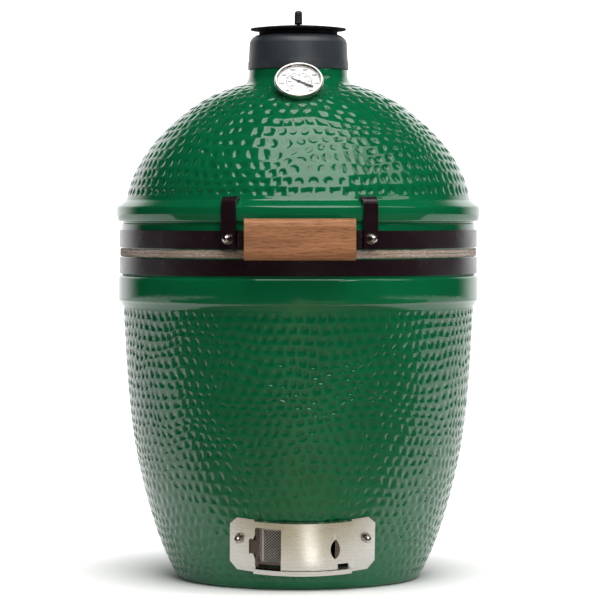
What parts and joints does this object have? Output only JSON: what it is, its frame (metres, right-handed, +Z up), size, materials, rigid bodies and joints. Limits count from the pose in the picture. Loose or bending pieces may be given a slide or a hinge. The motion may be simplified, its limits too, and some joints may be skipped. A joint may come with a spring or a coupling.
{
  "type": "kamado ceramic grill",
  "caption": "Egg-shaped glazed ceramic kamado grill with a spring-hinged dome, banded rims, wooden handle, vent cap, dial gauge and sliding draft doors.",
  "frame": {"origin": "centre of the flat foot the grill stands on", "axes": "+Z up; -Y is the front, with the handle, gauge and draft doors; +X is the right-hand side seen from the front"},
  "size_m": [0.4646, 0.5842, 0.72],
  "materials": {
    "green_glaze": "glossy dimpled glaze",
    "felt": "pressed felt",
    "black_steel": "satin black powder coat",
    "zinc_steel": "zinc plated",
    "bright_steel": "polished",
    "brushed_steel": "brushed stainless",
    "fired_clay": "unglazed",
    "cast_iron": "raw",
    "cast_dark": "satin dark grey paint",
    "wood": "oiled",
    "silicone": "matte",
    "dial_white": "satin",
    "needle": "matte",
    "lens": "clear"
  },
  "bodies": {
    "base": {"base_shell": "green_glaze", "base_gasket": "felt", "base_band": "black_steel", "base_clamp_bolts": "zinc_steel", "base_clamp_nuts": "zinc_steel", "base_hinge_bracket": "black_steel", "hinge_pin": "zinc_steel", "hinge_pin_nut": "zinc_steel", "spring_rod_lower": "zinc_steel", "spring_left": "zinc_steel", "spring_right": "zinc_steel", "draft_frame": "brushed_steel", "draft_studs": "zinc_steel", "draft_washers": "bright_steel", "draft_cap_nuts": "bright_steel", "fire_box": "fired_clay", "fire_ring": "fired_clay", "fire_grate": "cast_iron", "cooking_grid": "brushed_steel"},
    "dome": {"dome_shell": "green_glaze", "dome_gasket": "felt", "dome_band": "black_steel", "dome_clamp_bolts": "zinc_steel", "dome_clamp_nuts": "zinc_steel", "dome_hinge_bracket": "black_steel", "spring_rod_upper": "zinc_steel", "handle_strap_left": "black_steel", "handle_strap_right": "black_steel", "handle_bracket": "black_steel", "handle_grip": "wood", "handle_screws": "zinc_steel", "handle_studs": "zinc_steel", "handle_spacers": "zinc_steel", "handle_washers": "bright_steel", "handle_cap_nuts": "bright_steel", "gauge_case": "bright_steel", "gauge_bezel": "bright_steel", "gauge_dial": "dial_white", "gauge_lens": "lens", "gauge_stem": "zinc_steel", "gauge_clip": "zinc_steel", "cap_body": "cast_dark", "cap_gasket": "felt", "cap_pivot_pin": "zinc_steel"},
    "cap_cover": {"cap_cover": "cast_dark", "cap_rivet": "zinc_steel"},
    "cap_wheel": {"cap_wheel": "cast_dark", "grip_sleeve": "silicone"},
    "gauge_pointer": {"gauge_pointer": "needle"},
    "draft_door": {"draft_door": "brushed_steel"},
    "screen_door": {"screen_frame": "brushed_steel", "screen_mesh": "brushed_steel"}
  },
  "joints": [
    {"name": "lid_hinge", "type": "hinge", "parent": "base", "child": "dome", "pos_m": [0, 0.262, 0.41445], "axis": [-1, 0, 0], "range_deg": [0, 72], "stiffness_Nm_per_rad": 16, "springref_deg": 72.02, "deforming": ["spring_left", "spring_right"]},
    {"name": "cap_swing", "type": "hinge", "parent": "dome", "child": "cap_cover", "pos_m": [0, 0.071, 0.6914], "axis": [0, 0, 1], "range_deg": [0, 100]},
    {"name": "cap_wheel_turn", "type": "hinge", "parent": "cap_cover", "child": "cap_wheel", "pos_m": [0, 0, 0.6958], "axis": [0, 0, 1], "continuous": true},
    {"name": "gauge_needle", "type": "hinge", "parent": "dome", "child": "gauge_pointer", "pos_m": [0, -0.1143, 0.6309], "axis": [0, -0.7193, 0.6947], "range_deg": [-195, 75], "stiffness_Nm_per_rad": 0.01},
    {"name": "draft_door_slide", "type": "hinge", "parent": "base", "child": "draft_door", "pos_m": [-0.0004, 0.01618, 0.08192], "axis": [0.0077, -0.3139, 0.9494], "range_deg": [-9.4, 4.8]},
    {"name": "screen_door_slide", "type": "hinge", "parent": "base", "child": "screen_door", "pos_m": [-0.0004, 0.01618, 0.08192], "axis": [0.0077, -0.3139, 0.9494], "range_deg": [0, 13.4]}
  ]
}
